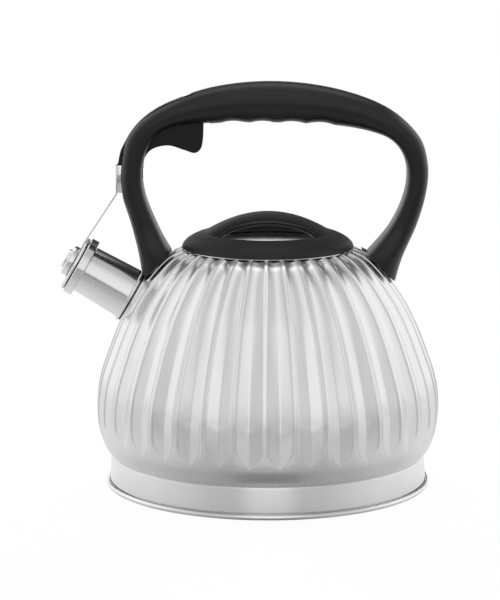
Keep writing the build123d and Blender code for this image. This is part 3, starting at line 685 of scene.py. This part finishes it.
def makeStrap():
    up, out = leanAxes(strap["plateLean"])
    freeUp = leanAxes(strap["freeLean"])[0]
    thick = strap["thick"]
    top = strap["top"]
    low = Vector(strap["plate"]) - up * strap["low"]
    kink = Vector(strap["plate"]) + up * strap["edge"]
    bend = kink + freeUp * (strap["bend"] - kink.y) / freeUp.y
    outer = bend + Vector((-thick, thick * math.tan(math.radians(strap["freeLean"] / 2))))
    outline = [low, kink, bend, (bend.x, top), (bend.x - thick, top), outer, kink + out * thick,
               low + out * thick]
    strip = slabPiece("whistleStrap", [tuple(p) for p in outline], strap["half"], strap["bevel"],
                      strap["bevelSteps"])
    depth = strap["clipDepth"]
    foot = strap["bend"] + strap["clipFoot"]
    for side in (-1, 1):
        cheek = boxPiece("clipCheek", (depth, thick, top - foot),
                         (bend.x + depth / 2, side * (strap["half"] - thick / 2), (top + foot) / 2))
        applyModifier(cheek, "BEVEL", width=strap["bevel"] * mm, segments=strap["bevelSteps"],
                      limit_method="ANGLE")
        strip.select_set(True)
        bpy.context.view_layer.objects.active = strip
        bpy.ops.object.join()
    smoothEdges(strip, strap["smooth"])
    finishPiece(strip, "trigger", ["whistle_strap"], capSteel)


makeStrap()
print("trigger ready")

# arch handle, swept along its stations, cut for the body, the spout and the lever, then split in two

handle = {
    "stations": [  # outer and inner edge, from the left foot over the grip to the right foot
        ((-72.5, 112.0), (-49.0, 130.0)), ((-75.3, 135.0), (-56.6, 139.5)), ((-80.0, 155.0), (-64.8, 155.0)),
        ((-85.6, 174.0), (-72.0, 174.0)), ((-85.9, 191.0), (-72.8, 190.5)), ((-81.0, 208.9), (-67.4, 204.6)),
        ((-65.8, 222.6), (-56.4, 212.2)), ((-36.0, 234.9), (-33.5, 214.6)), ((0.0, 239.2), (0.0, 214.9)),
        ((36.0, 235.6), (35.5, 213.9)), ((67.8, 224.8), (59.5, 210.1)), ((87.4, 208.2), (73.4, 203.8)),
        ((93.3, 191.5), (80.6, 191.0)), ((92.6, 174.5), (79.8, 174.0)), ((87.2, 155.2), (71.4, 155.0)),
        ((78.4, 134.5), (57.2, 137.6)), ((72.5, 112.0), (48.0, 128.5))],
    "around": 40, "rings": 161, "power": 2.3, "innerPower": (4.2, 2.5), "gripFrom": (4.5, 6.5),
    "depth": 25.0, "footDepth": 32.0, "footFrom": (2.0, 1.0),
    "grooves": [-20.2, -3.2, 13.8, 30.8], "grooveRadius": 26.0, "grooveDepth": 1.2, "grooveAbove": 205,
    "grooveReach": 1.5,
    "footGap": 2.0, "footFirst": 5, "footSteps": 24, "footLow": 60.0,
    "slot": [(-130, 171.5), (-82.2, 171.5), (-81.4, 181.0), (-66.0, 184.0), (-34.0, 190.0), (-34.0, 232.0),
             (-47.5, 232.0), (-47.5, 260), (-130, 260)],
    "slotHalf": 6.2, "split": 0.06, "smooth": 38,
}


def handleSection(row):
    # outer edge, inner edge, depth, and the power of the section's inner side
    share = row / (handle["rings"] - 1)
    outer = blendPoints(upright([first for first, second in handle["stations"]]), share)
    inner = blendPoints(upright([second for first, second in handle["stations"]]), share)
    last = len(handle["stations"]) - 1
    fromFoot = min(share * last, last - share * last)
    foot = easeShare(clampShare(fromFoot, *handle["footFrom"]))
    depth = handle["depth"] + (handle["footDepth"] - handle["depth"]) * foot
    legs, middle = handle["innerPower"]
    innerPower = legs + (middle - legs) * clampShare(fromFoot, *handle["gripFrom"])
    return outer, inner, depth, innerPower


def grooveLift(x):
    radius = handle["grooveRadius"]
    rise = 0.0
    for middle in handle["grooves"]:
        away = abs(x - middle)
        if away < radius:
            sag = radius - math.sqrt(radius ** 2 - away ** 2)
            rise = max(rise, handle["grooveDepth"] - sag)
    return rise


def handlePoint(column, row):
    outer, inner, depth, innerPower = handleSection(row)
    angle = 2 * math.pi * column / handle["around"]
    c = math.cos(angle)
    s = math.sin(angle)
    power = 2 / (handle["power"] if c >= 0 else innerPower)
    a = math.copysign(abs(c) ** power, c)
    b = math.copysign(abs(s) ** power, s)
    point = (outer + inner) / 2 + (outer - inner) / 2 * a + Vector((0, depth / 2 * b, 0))
    if a < 0 and point.z > handle["grooveAbove"]:
        point.z += grooveLift(point.x) * min(1.0, -a * handle["grooveReach"])
    return point


def footProfile():
    # the body's shoulder, grown by the gap that the feet keep from it
    outline = upright(body["outline"][handle["footFirst"]:])
    last = handle["footSteps"] - 1
    points = [(0.0, handle["footLow"])]
    for k in range(last + 1):
        here = blendPoints(outline, k / last)
        along = (blendPoints(outline, min(k + 1, last) / last)
                 - blendPoints(outline, max(k - 1, 0) / last)).normalized()
        points.append((here.x + along.z * handle["footGap"], here.z - along.x * handle["footGap"]))
    points.append((0.0, points[-1][1]))
    return points


def halfHandle(whole, name, node, side):
    half = whole.copy()
    half.data = whole.data.copy()
    half.name = name
    half.data.name = name
    bpy.context.scene.collection.objects.link(half)
    editAll(half)
    bpy.ops.mesh.bisect(plane_co=(0, side * handle["split"] * mm, 0), plane_no=(0, 1, 0), use_fill=True,
                        clear_outer=side < 0, clear_inner=side > 0)
    bpy.ops.object.mode_set(mode="OBJECT")
    smoothEdges(half, handle["smooth"])
    finishPiece(half, "kettle", [node], handleBlack)
    print(name, len(half.data.polygons), "faces")


def makeHandle():
    whole = gridPiece("handleWhole", handle["around"] + 1, handle["rings"], handlePoint)
    closeEnds(whole)
    combine(whole, spinPiece("footCut", footProfile()), "DIFFERENCE")
    combine(whole, spoutCutter("spoutNotch", *spout["notch"]), "DIFFERENCE")
    combine(whole, slabPiece("leverSlot", handle["slot"], handle["slotHalf"]), "DIFFERENCE")
    halfHandle(whole, "handleFront", "handle_front_shell", -1)
    halfHandle(whole, "handleRear", "handle_rear_shell", 1)
    drop(whole)


makeHandle()

# lid: steel plate, skirt and the black cover with its bridge

lid = {
    "plate": [(0, 144.9), (36.7, 144.9), (43.2, 141.1), (49.6, 141.1), (49.8, 141.3), (49.8, 141.7),
              (49.6, 141.9), (44.0, 141.9), (37.5, 145.7), (0, 145.7)],
    "skirt": [(43.4, 132.6), (44.2, 132.6), (44.2, 141.08), (43.4, 141.08)],
    "ring": [(50.8, 138.0), (50.6, 142.0), (49.8, 144.4), (47.6, 146.7), (44.4, 148.7), (40.8, 150.2),
             (37.6, 150.9), (36.0, 150.7), (35.3, 149.8), (35.3, 145.8), (37.5, 145.8), (38.7, 147.4),
             (46.0, 144.3), (46.8, 138.0)],
    "steps": 192, "voxel": 0.62, "soften": 12, "softenShare": 0.5, "smooth": 45,
    "below": (120, 120, 20), "ringFoot": 142.1,
}
bridge = {
    "columns": 24, "rows": 49, "reach": 38.0, "apex": 162.5, "edge": 150.2, "arch": 2.0,
    "half": 12.2, "footHalf": 17.0, "flareFrom": 0.55, "thick": 5.0, "topShare": 0.55, "underShare": 0.3,
    "belly": 3.4, "footDrop": 0.3, "footFrom": (0.5, 0.86), "lowest": 146.2,
    "sideRound": 0.7, "topRound": 0.8, "underRound": 1.1,
}
turnedPiece("lidPlate", "lid", ["lid_plate"], lidSteel, "stainless_steel", lid["plate"],
            steps=lid["steps"])
turnedPiece("lidSkirt", "lid", ["lid_skirt"], lidSteel, "stainless_steel", lid["skirt"])


def bridgePoint(column, row):
    # a bar that arches over the opening, its section a flat lens
    along = -1 + 2 * row / (bridge["rows"] - 1)
    lean = abs(along)
    top = bridge["apex"] - (bridge["apex"] - bridge["edge"]) * lean ** bridge["arch"]
    flare = clampShare(lean, bridge["flareFrom"], 1.0)
    half = bridge["half"] + (bridge["footHalf"] - bridge["half"]) * flare
    angle = 2 * math.pi * column / bridge["columns"]
    c = math.cos(angle)
    s = math.sin(angle)
    y = half * math.copysign(abs(c) ** bridge["sideRound"], c)
    foot = easeShare(clampShare(lean, *bridge["footFrom"]))
    middle = top - bridge["thick"] * (bridge["topShare"] + bridge["footDrop"] * foot)
    if s >= 0:
        z = middle + (top - middle) * abs(s) ** bridge["topRound"]
    else:
        under = bridge["thick"] * bridge["underShare"] + bridge["belly"]
        z = middle - under * abs(s) ** bridge["underRound"]
    return along * bridge["reach"], y, max(z, bridge["lowest"])


def makeLidCover():
    cover = spinPiece("lidCover", lid["ring"], steps=lid["steps"])
    bar = gridPiece("lidBridge", bridge["columns"] + 1, bridge["rows"], bridgePoint)
    closeEnds(bar)
    combine(cover, bar, "UNION")
    applyModifier(cover, "REMESH", mode="VOXEL", voxel_size=lid["voxel"] * mm)
    applyModifier(cover, "SMOOTH", factor=lid["softenShare"], iterations=lid["soften"])
    below = boxPiece("belowRing", lid["below"], (0, 0, lid["ringFoot"] - lid["below"][2] / 2))
    combine(cover, below, "DIFFERENCE")
    smoothEdges(cover, lid["smooth"])
    return finishPiece(cover, "lid", ["lid_cover"], lidBlack)


lidCover = makeLidCover()
print("lid cover:", len(lidCover.data.polygons), "faces")

# CAD nodes that keep their own shape and only get a finish

keptNodes = {
    "handle_bracket_left": lidSteel, "handle_bracket_right": lidSteel, "whistle_disc": capSteel,
    "handle_grip_screws": screwSteel, "handle_foot_screws": screwSteel, "lid_screws": screwSteel,
    "cap_rivets": pinSteel, "strap_rivet": screwSteel, "lever_pivot_pin": pinSteel,
    "lever_return_spring": pinSteel, "heat_spreader": castAluminium,
}
for name, material in keptNodes.items():
    nodes[name].data.materials.clear()
    nodes[name].data.materials.append(material)
print("kept nodes:", len(keptNodes))

# floor and world: each ramp is degrees round from the camera's side, and a tone. The floor's ramps are
# painted shade and light: darker round the kettle's foot and far off in front, with a painted lit strip
# towards the camera, which the floor shows as a glow in reflections

studio = {
    "low": [(0, 1.12), (12, 1.10), (18, 0.70), (48, 0.70), (70, 0.86), (96, 1.08), (125, 1.16), (180, 1.1)],
    "high": [(0, 1.08), (14, 1.05), (28, 0.86), (42, 0.64), (60, 0.72), (78, 0.92), (100, 1.1), (125, 1.16),
             (180, 1.1)],
    # painted floor shade and light, seen in reflections: painted shadow round the kettle's foot in front, a
    # painted lit strip towards the camera, painted shade on the far floor in front
    "paintedFloorNear": [(0, 0.28), (8, 0.29), (20, 0.42), (30, 0.50), (62, 0.68), (85, 0.84), (104, 0.97),
                  (180, 0.97)],
    "paintedFloorMid": [(0, 0.74), (11, 0.70), (18, 0.56), (50, 0.78), (75, 0.86), (96, 0.97), (180, 0.97)],
    "paintedFloorFar": [(0, 0.82), (11, 0.80), (18, 0.58), (48, 0.62), (70, 0.8), (90, 0.94), (180, 0.97)],
    "paintedFloorDeep": [(0, 0.20), (36, 0.26), (75, 0.8), (100, 0.95), (180, 0.97)],
    "rampTop": 1.3,
    "nearEdge": (0.116, 0.136), "farEdge": (0.2, 0.32), "deepEdge": (0.72, 0.95),  # metres from the axis
    "floorSize": 8, "floorDrop": -0.0002, "floorRough": 0.9, "floorGloss": 0.1,
    "floorGlow": 0.93, "floorShown": 1.012, "floorShownShare": 0.96,
    "highFrom": (9.0, 22.0), "zenithFrom": (44.0, 66.0), "zenith": (1.04, 0.58), "zenithSide": (0.08, 0.30),
    "cardLow": (10.5, 15.0), "cardMiddle": (14.0, 19.0), "cardHigh": (42.0, 56.0), "cardSide": (148.0, 166.0),
    "cardBack": (167.0, 174.0), "cardTone": 0.10,
    "flagAxis": (-0.866, 0.0, 0.5), "flagMiddle": -0.06, "flagHalf": (0.08, 0.125),
    "flagFront": (-0.02, 0.10), "flagTone": 0.05,
}


def roundAngle(tree, vector):
    # the angle round the kettle, 0 at the camera's side and pi at the back
    apart = splitVector(tree, vector)
    side = mathNode(tree, "ABSOLUTE", apart["X"])
    front = mathNode(tree, "MULTIPLY", apart["Y"], -1.0)
    return mathNode(tree, "ARCTAN2", side, front), side, apart


def angleRamp(tree, angle, stops):
    ramp = tree.nodes.new("ShaderNodeValToRGB")
    ramp.color_ramp.interpolation = "EASE"
    points = ramp.color_ramp.elements
    while len(points) < len(stops):
        points.new(0.5)
    for point, (degrees, tone) in zip(points, stops):
        grey = tone / studio["rampTop"]
        point.position = degrees / 180
        point.color = (grey, grey, grey, 1)
    tree.links.new(mathNode(tree, "DIVIDE", angle, math.pi), ramp.inputs[0])
    return mathNode(tree, "MULTIPLY", ramp.outputs[0], studio["rampTop"])


def mixValue(tree, share, first, second):
    return addNode(tree, "ShaderNodeMix", {0: share, 2: first, 3: second}, data_type="FLOAT").outputs[0]


def softStep(tree, value, low, high):
    return mapRange(tree, value, (low, high), (0.0, 1.0), "SMOOTHSTEP")


def opposite(tree, value):
    return mathNode(tree, "SUBTRACT", 1.0, value)


def makeFloor():
    clearAll()
    bpy.ops.mesh.primitive_plane_add(size=studio["floorSize"], location=(0, 0, studio["floorDrop"]))
    floor = bpy.context.object
    floor.name = "paleFloorPaintedShade"
    material, tree, shader, coordinates = newMaterial("paleFloorPaintedShade")
    where = coordinates["Object"]
    angle = roundAngle(tree, where)[0]
    away = addNode(tree, "ShaderNodeVectorMath", {0: where}, operation="LENGTH").outputs["Value"]
    # the floor's colour is painted shade and light, set by the angle round the kettle and the distance from
    # it
    tone = angleRamp(tree, angle, studio["paintedFloorNear"])
    for edge, ramp in (("nearEdge", "paintedFloorMid"), ("farEdge", "paintedFloorFar"), ("deepEdge", "paintedFloorDeep")):
        tone = mixValue(tree, softStep(tree, away, *studio[edge]), tone, angleRamp(tree, angle, studio[ramp]))
    tree.links.new(tone, shader.inputs["Base Color"])
    shader.inputs["Roughness"].default_value = studio["floorRough"]
    shader.inputs["Specular IOR Level"].default_value = studio["floorGloss"]
    # glossy rays see the painted floor tones as a glow, so the painted shade stands where real shadow would
    # be
    path = addNode(tree, "ShaderNodeLightPath").outputs
    direct = path["Is Camera Ray"]
    paintedFloorGlow = mathNode(tree, "MULTIPLY", tone, studio["floorGlow"])
    shown = mixValue(tree, direct, paintedFloorGlow, studio["floorShown"])
    glow = addNode(tree, "ShaderNodeEmission", {"Color": (1, 1, 1, 1), "Strength": shown})
    share = mathNode(tree, "MULTIPLY", direct, studio["floorShownShare"])
    share = mathNode(tree, "MAXIMUM", share, path["Is Glossy Ray"])
    mix = addNode(tree, "ShaderNodeMixShader", {0: share, 1: shader.outputs[0], 2: glow.outputs[0]})
    tree.links.new(mix.outputs[0], tree.nodes["Material Output"].inputs["Surface"])
    floor.data.materials.append(material)


def makeWorld():
    world = bpy.data.worlds.new("studioWorld")
    bpy.context.scene.world = world
    world.use_nodes = True
    tree = world.node_tree
    back = tree.nodes["Background"]
    where = tree.nodes.new("ShaderNodeTexCoord").outputs["Generated"]
    angle, side, apart = roundAngle(tree, where)

    def heightStep(key):
        return softStep(tree, apart["Z"], *[math.sin(math.radians(degrees)) for degrees in studio[key]])

    def angleStep(key):
        return softStep(tree, angle, *[math.radians(degrees) for degrees in studio[key]])

    # sky round the kettle, then the softer light overhead
    tone = mixValue(tree, heightStep("highFrom"), angleRamp(tree, angle, studio["low"]),
                    angleRamp(tree, angle, studio["high"]))
    top = mixValue(tree, softStep(tree, side, *studio["zenithSide"]), *studio["zenith"])
    tone = mixValue(tree, heightStep("zenithFrom"), tone, top)
    # a dark card behind
    card = mixValue(tree, angleStep("cardBack"), heightStep("cardLow"), heightStep("cardMiddle"))
    card = mathNode(tree, "MULTIPLY", card, opposite(tree, heightStep("cardHigh")))
    card = mathNode(tree, "MULTIPLY", card, angleStep("cardSide"))
    tone = mixValue(tree, card, tone, studio["cardTone"])
    # a dark flag square to the spout's axis, which draws the dark line along its top
    across = addNode(tree, "ShaderNodeVectorMath", {0: where, 1: studio["flagAxis"]}, operation="DOT_PRODUCT")
    across = mathNode(tree, "SUBTRACT", across.outputs["Value"], studio["flagMiddle"])
    flag = opposite(tree, softStep(tree, mathNode(tree, "ABSOLUTE", across), *studio["flagHalf"]))
    flag = mathNode(tree, "MULTIPLY", flag, softStep(tree, apart["Y"], *studio["flagFront"]))
    tone = mixValue(tree, flag, tone, studio["flagTone"])
    # plain white where the camera or a clear piece looks past the kettle
    path = addNode(tree, "ShaderNodeLightPath").outputs
    seen = mathNode(tree, "MAXIMUM", path["Is Camera Ray"], path["Is Transmission Ray"])
    back.inputs["Color"].default_value = (1, 1, 1, 1)
    tree.links.new(mixValue(tree, seen, tone, 1.0), back.inputs["Strength"])


def placeAimed(name, data, place, aim):
    item = bpy.data.objects.new(name, data)
    item.location = place
    item.rotation_euler = (Vector(aim) - item.location).to_track_quat("-Z", "Y").to_euler()
    bpy.context.scene.collection.objects.link(item)
    return item


makeFloor()
makeWorld()

# lamp and camera, in metres

topBox = {"place": (0, 0.62, 1.7), "aim": (0, -0.05, 0.14), "width": 1.3, "height": 0.75, "power": 2.0}
lamp = bpy.data.lights.new("topBox", "AREA")
lamp.shape = "RECTANGLE"
lamp.size = topBox["width"]
lamp.size_y = topBox["height"]
lamp.energy = topBox["power"]
placeAimed("topBox", lamp, topBox["place"], topBox["aim"])

photoView = {"place": (-0.0105, -1.3959, 0.3475), "aim": (-0.0105, 0, 0.1101), "lens": 144, "sensor": 36}
camera = bpy.data.cameras.new("photoCamera")
camera.lens = photoView["lens"]
camera.sensor_width = photoView["sensor"]
bpy.context.scene.camera = placeAimed("photoCamera", camera, photoView["place"], photoView["aim"])
bpy.context.scene.view_settings.view_transform = "Standard"
print("studio ready")
